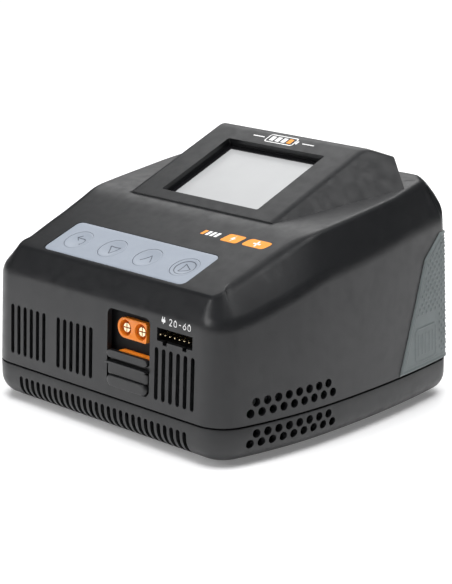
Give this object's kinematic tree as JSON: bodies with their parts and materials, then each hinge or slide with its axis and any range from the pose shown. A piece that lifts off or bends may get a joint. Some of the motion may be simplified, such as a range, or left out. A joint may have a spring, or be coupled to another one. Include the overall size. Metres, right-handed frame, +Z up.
{
  "type": "balance battery charger",
  "caption": "Desktop balance charger for radio-control batteries: raised sloping display, keypad, shuttered battery ports, balance socket, cooling fan and mains inlet.",
  "frame": {"origin": "centre of the bounding box in plan, on the surface that the rubber feet stand on", "axes": "+Z up; the front with the keys and ports faces -Y; +X is to the right of someone facing the front"},
  "size_m": [0.143, 0.1332, 0.1008],
  "materials": {
    "shell_plastic": "fine spark-eroded texture, semi-matt charcoal",
    "tray_plastic": "fine texture, semi-matt charcoal",
    "grip_rubber": "soft-touch grey rubber with moulded studs",
    "screen_border": "gloss black print",
    "screen_face": "unlit pale grey display, satin",
    "bracket_plastic": "matt black",
    "circuit_board": "green solder mask",
    "screw_steel": "zinc plated",
    "screw_black": "black oxide",
    "keypad_silicone": "matt blue-grey silicone",
    "switch_body": "matt black",
    "switch_plunger": "matt black",
    "door_plastic": "fine texture, semi-matt charcoal",
    "port_orange": "glass-filled nylon, satin orange",
    "contact_gold": "gold plated",
    "header_plastic": "matt black nylon",
    "fan_plastic": "matt black",
    "inlet_plastic": "satin black",
    "pin_steel": "nickel plated",
    "ferrite": "dark grey ferrite",
    "winding_tape": "yellow polyester tape",
    "capacitor_sleeve": "shrink sleeve",
    "copper_winding": "enamelled copper",
    "sink_aluminium": "bare extrusion",
    "chip_black": "epoxy package",
    "film_block": "yellow film capacitor box",
    "fuse_glass": "glass tube",
    "foot_rubber": "matt black"
  },
  "bodies": {
    "case": {"ac_inlet": "inlet_plastic", "ac_pins": "pin_steel", "balance_header": "header_plastic", "balance_pins": "contact_gold", "base_tray": "tray_plastic", "board_screws": "screw_steel", "bulk_capacitor_1": "capacitor_sleeve", "bulk_capacitor_2": "capacitor_sleeve", "buzzer": "chip_black", "case_screws": "screw_black", "control_chips": "chip_black", "display_board": "circuit_board", "display_screws": "screw_steel", "fan_frame": "fan_plastic", "fan_screws": "screw_black", "film_capacitors": "film_block", "fuse_holder": "header_plastic", "grip_left": "grip_rubber", "grip_right": "grip_rubber", "heat_sink_left": "sink_aluminium", "heat_sink_right": "sink_aluminium", "input_choke": "copper_winding", "key_board": "circuit_board", "key_board_screws": "screw_steel", "keypad_sheet": "keypad_silicone", "large_port_contacts": "contact_gold", "large_port_housing": "port_orange", "lcd_frame": "bracket_plastic", "lcd_mask": "screen_border", "lcd_panel": "screen_face", "main_board": "circuit_board", "mains_fuse": "fuse_glass", "output_capacitors": "capacitor_sleeve", "output_inductor": "copper_winding", "port_board": "circuit_board", "port_bracket": "bracket_plastic", "power_transistors": "chip_black", "rubber_feet": "foot_rubber", "small_port_contacts": "contact_gold", "small_port_housing": "port_orange", "tact_switches": "switch_body", "transformer_core": "ferrite", "transformer_winding": "winding_tape", "upper_shell": "shell_plastic"},
    "shutter": {"port_door": "door_plastic"},
    "rotor": {"fan_rotor": "fan_plastic"},
    "button_back": {"key_back": "keypad_silicone", "plunger_back": "switch_plunger"},
    "button_down": {"key_down": "keypad_silicone", "plunger_down": "switch_plunger"},
    "button_up": {"key_up": "keypad_silicone", "plunger_up": "switch_plunger"},
    "button_start": {"key_start": "keypad_silicone", "plunger_start": "switch_plunger"}
  },
  "joints": [
    {"name": "shutter_slide", "type": "slide", "parent": "case", "child": "shutter", "axis": [0, 0.0396, 0.9992], "range_m": [0, 0.015]},
    {"name": "fan_spin", "type": "hinge", "parent": "case", "child": "rotor", "pos_m": [0.012, 0.05294, 0.051], "axis": [0, 1, 0], "continuous": true},
    {"name": "key_back_press", "type": "slide", "parent": "case", "child": "button_back", "axis": [0, 0.3414, -0.9399], "range_m": [0, 0.0008], "stiffness_N_per_m": 2000},
    {"name": "key_down_press", "type": "slide", "parent": "case", "child": "button_down", "axis": [0, 0.3414, -0.9399], "range_m": [0, 0.0008], "stiffness_N_per_m": 2000},
    {"name": "key_up_press", "type": "slide", "parent": "case", "child": "button_up", "axis": [0, 0.3414, -0.9399], "range_m": [0, 0.0008], "stiffness_N_per_m": 2000},
    {"name": "key_start_press", "type": "slide", "parent": "case", "child": "button_start", "axis": [0, 0.3414, -0.9399], "range_m": [0, 0.0008], "stiffness_N_per_m": 2000}
  ]
}
